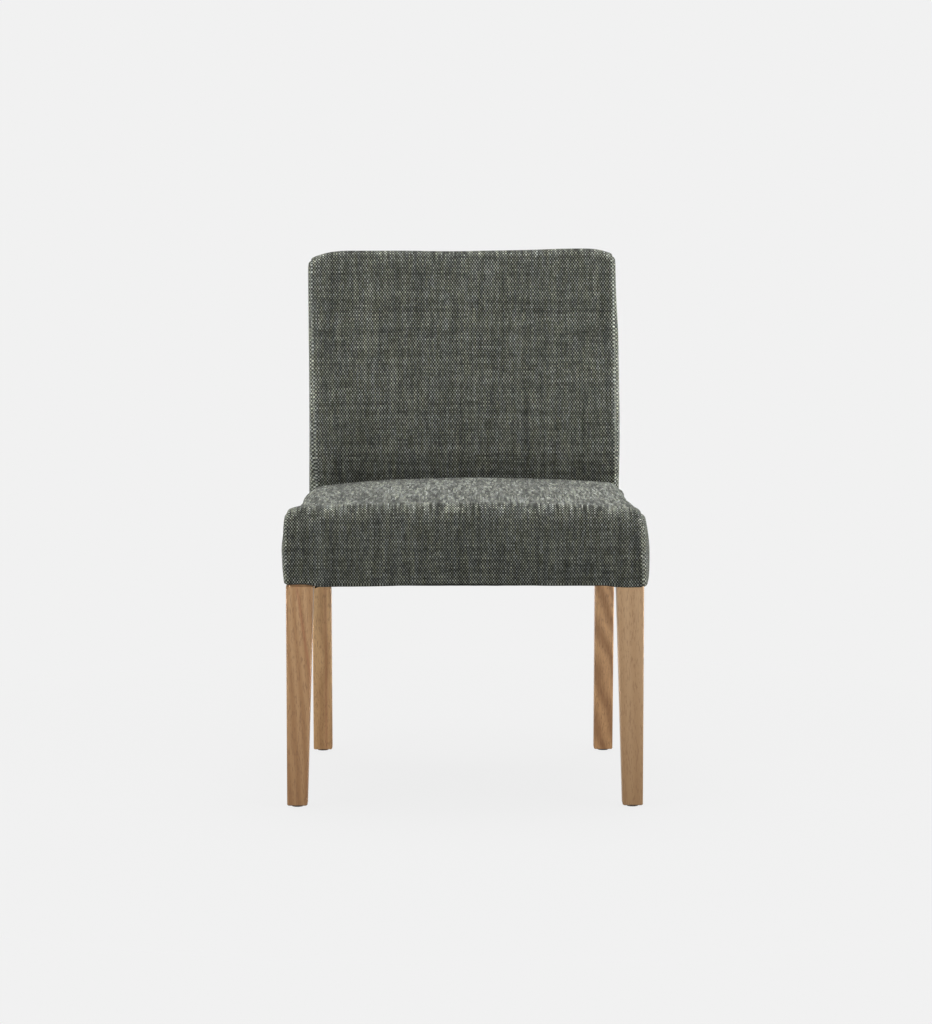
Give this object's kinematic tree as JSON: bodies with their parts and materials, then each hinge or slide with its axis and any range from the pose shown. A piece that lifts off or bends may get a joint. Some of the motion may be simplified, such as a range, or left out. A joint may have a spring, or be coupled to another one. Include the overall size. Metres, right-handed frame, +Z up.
{
  "type": "parsons chair",
  "caption": "Upholstered dining chair: a boxed seat and a reclined padded back in woven cloth over a tenoned wooden frame with tapered legs.",
  "frame": {"origin": "middle of the chair's footprint, on the floor", "axes": "+Z up, -Y the way the chair faces, +X on the right of someone looking at its front"},
  "size_m": [0.5772, 0.5744, 0.864],
  "materials": {
    "cover_cloth": "coarse grey-green plain weave with light slubs, matte",
    "leg_wood": "light brown oak with open pores, thin satin varnish",
    "frame_wood": "bare sawn hardwood",
    "screw_steel": "bright zinc plate",
    "webbing": "jute webbing and hessian",
    "foam": "cut polyurethane foam",
    "dust_cloth": "thin black non-woven cloth",
    "glide_plastic": "dark brown nylon"
  },
  "bodies": {
    "root": {"front_leg_left": "leg_wood", "front_leg_right": "leg_wood", "rear_post_left": "leg_wood", "rear_post_right": "leg_wood", "side_rail_left": "frame_wood", "side_rail_right": "frame_wood", "front_rail": "frame_wood", "rear_rail": "frame_wood", "back_top_rail": "frame_wood", "back_lower_rail": "frame_wood", "corner_block_front_left": "frame_wood", "corner_block_front_right": "frame_wood", "corner_block_rear_left": "frame_wood", "corner_block_rear_right": "frame_wood", "block_screw_front_left_1": "screw_steel", "block_screw_front_left_2": "screw_steel", "block_screw_front_right_1": "screw_steel", "block_screw_front_right_2": "screw_steel", "block_screw_rear_left_1": "screw_steel", "block_screw_rear_left_2": "screw_steel", "block_screw_rear_right_1": "screw_steel", "block_screw_rear_right_2": "screw_steel", "seat_webbing_long_1": "webbing", "seat_webbing_long_2": "webbing", "seat_webbing_long_3": "webbing", "seat_webbing_long_4": "webbing", "seat_webbing_long_5": "webbing", "seat_webbing_cross_1": "webbing", "seat_webbing_cross_2": "webbing", "seat_webbing_cross_3": "webbing", "seat_webbing_cross_4": "webbing", "back_webbing_up_1": "webbing", "back_webbing_up_2": "webbing", "back_webbing_up_3": "webbing", "back_webbing_across_1": "webbing", "back_webbing_across_2": "webbing", "seat_platform_cloth": "webbing", "seat_foam": "foam", "back_foam": "foam", "seat_cover": "cover_cloth", "back_cover": "cover_cloth", "outside_back_panel": "cover_cloth", "dust_cover": "dust_cloth", "glide_front_left": "glide_plastic", "glide_front_right": "glide_plastic", "glide_rear_left": "glide_plastic", "glide_rear_right": "glide_plastic"}
  },
  "joints": []
}
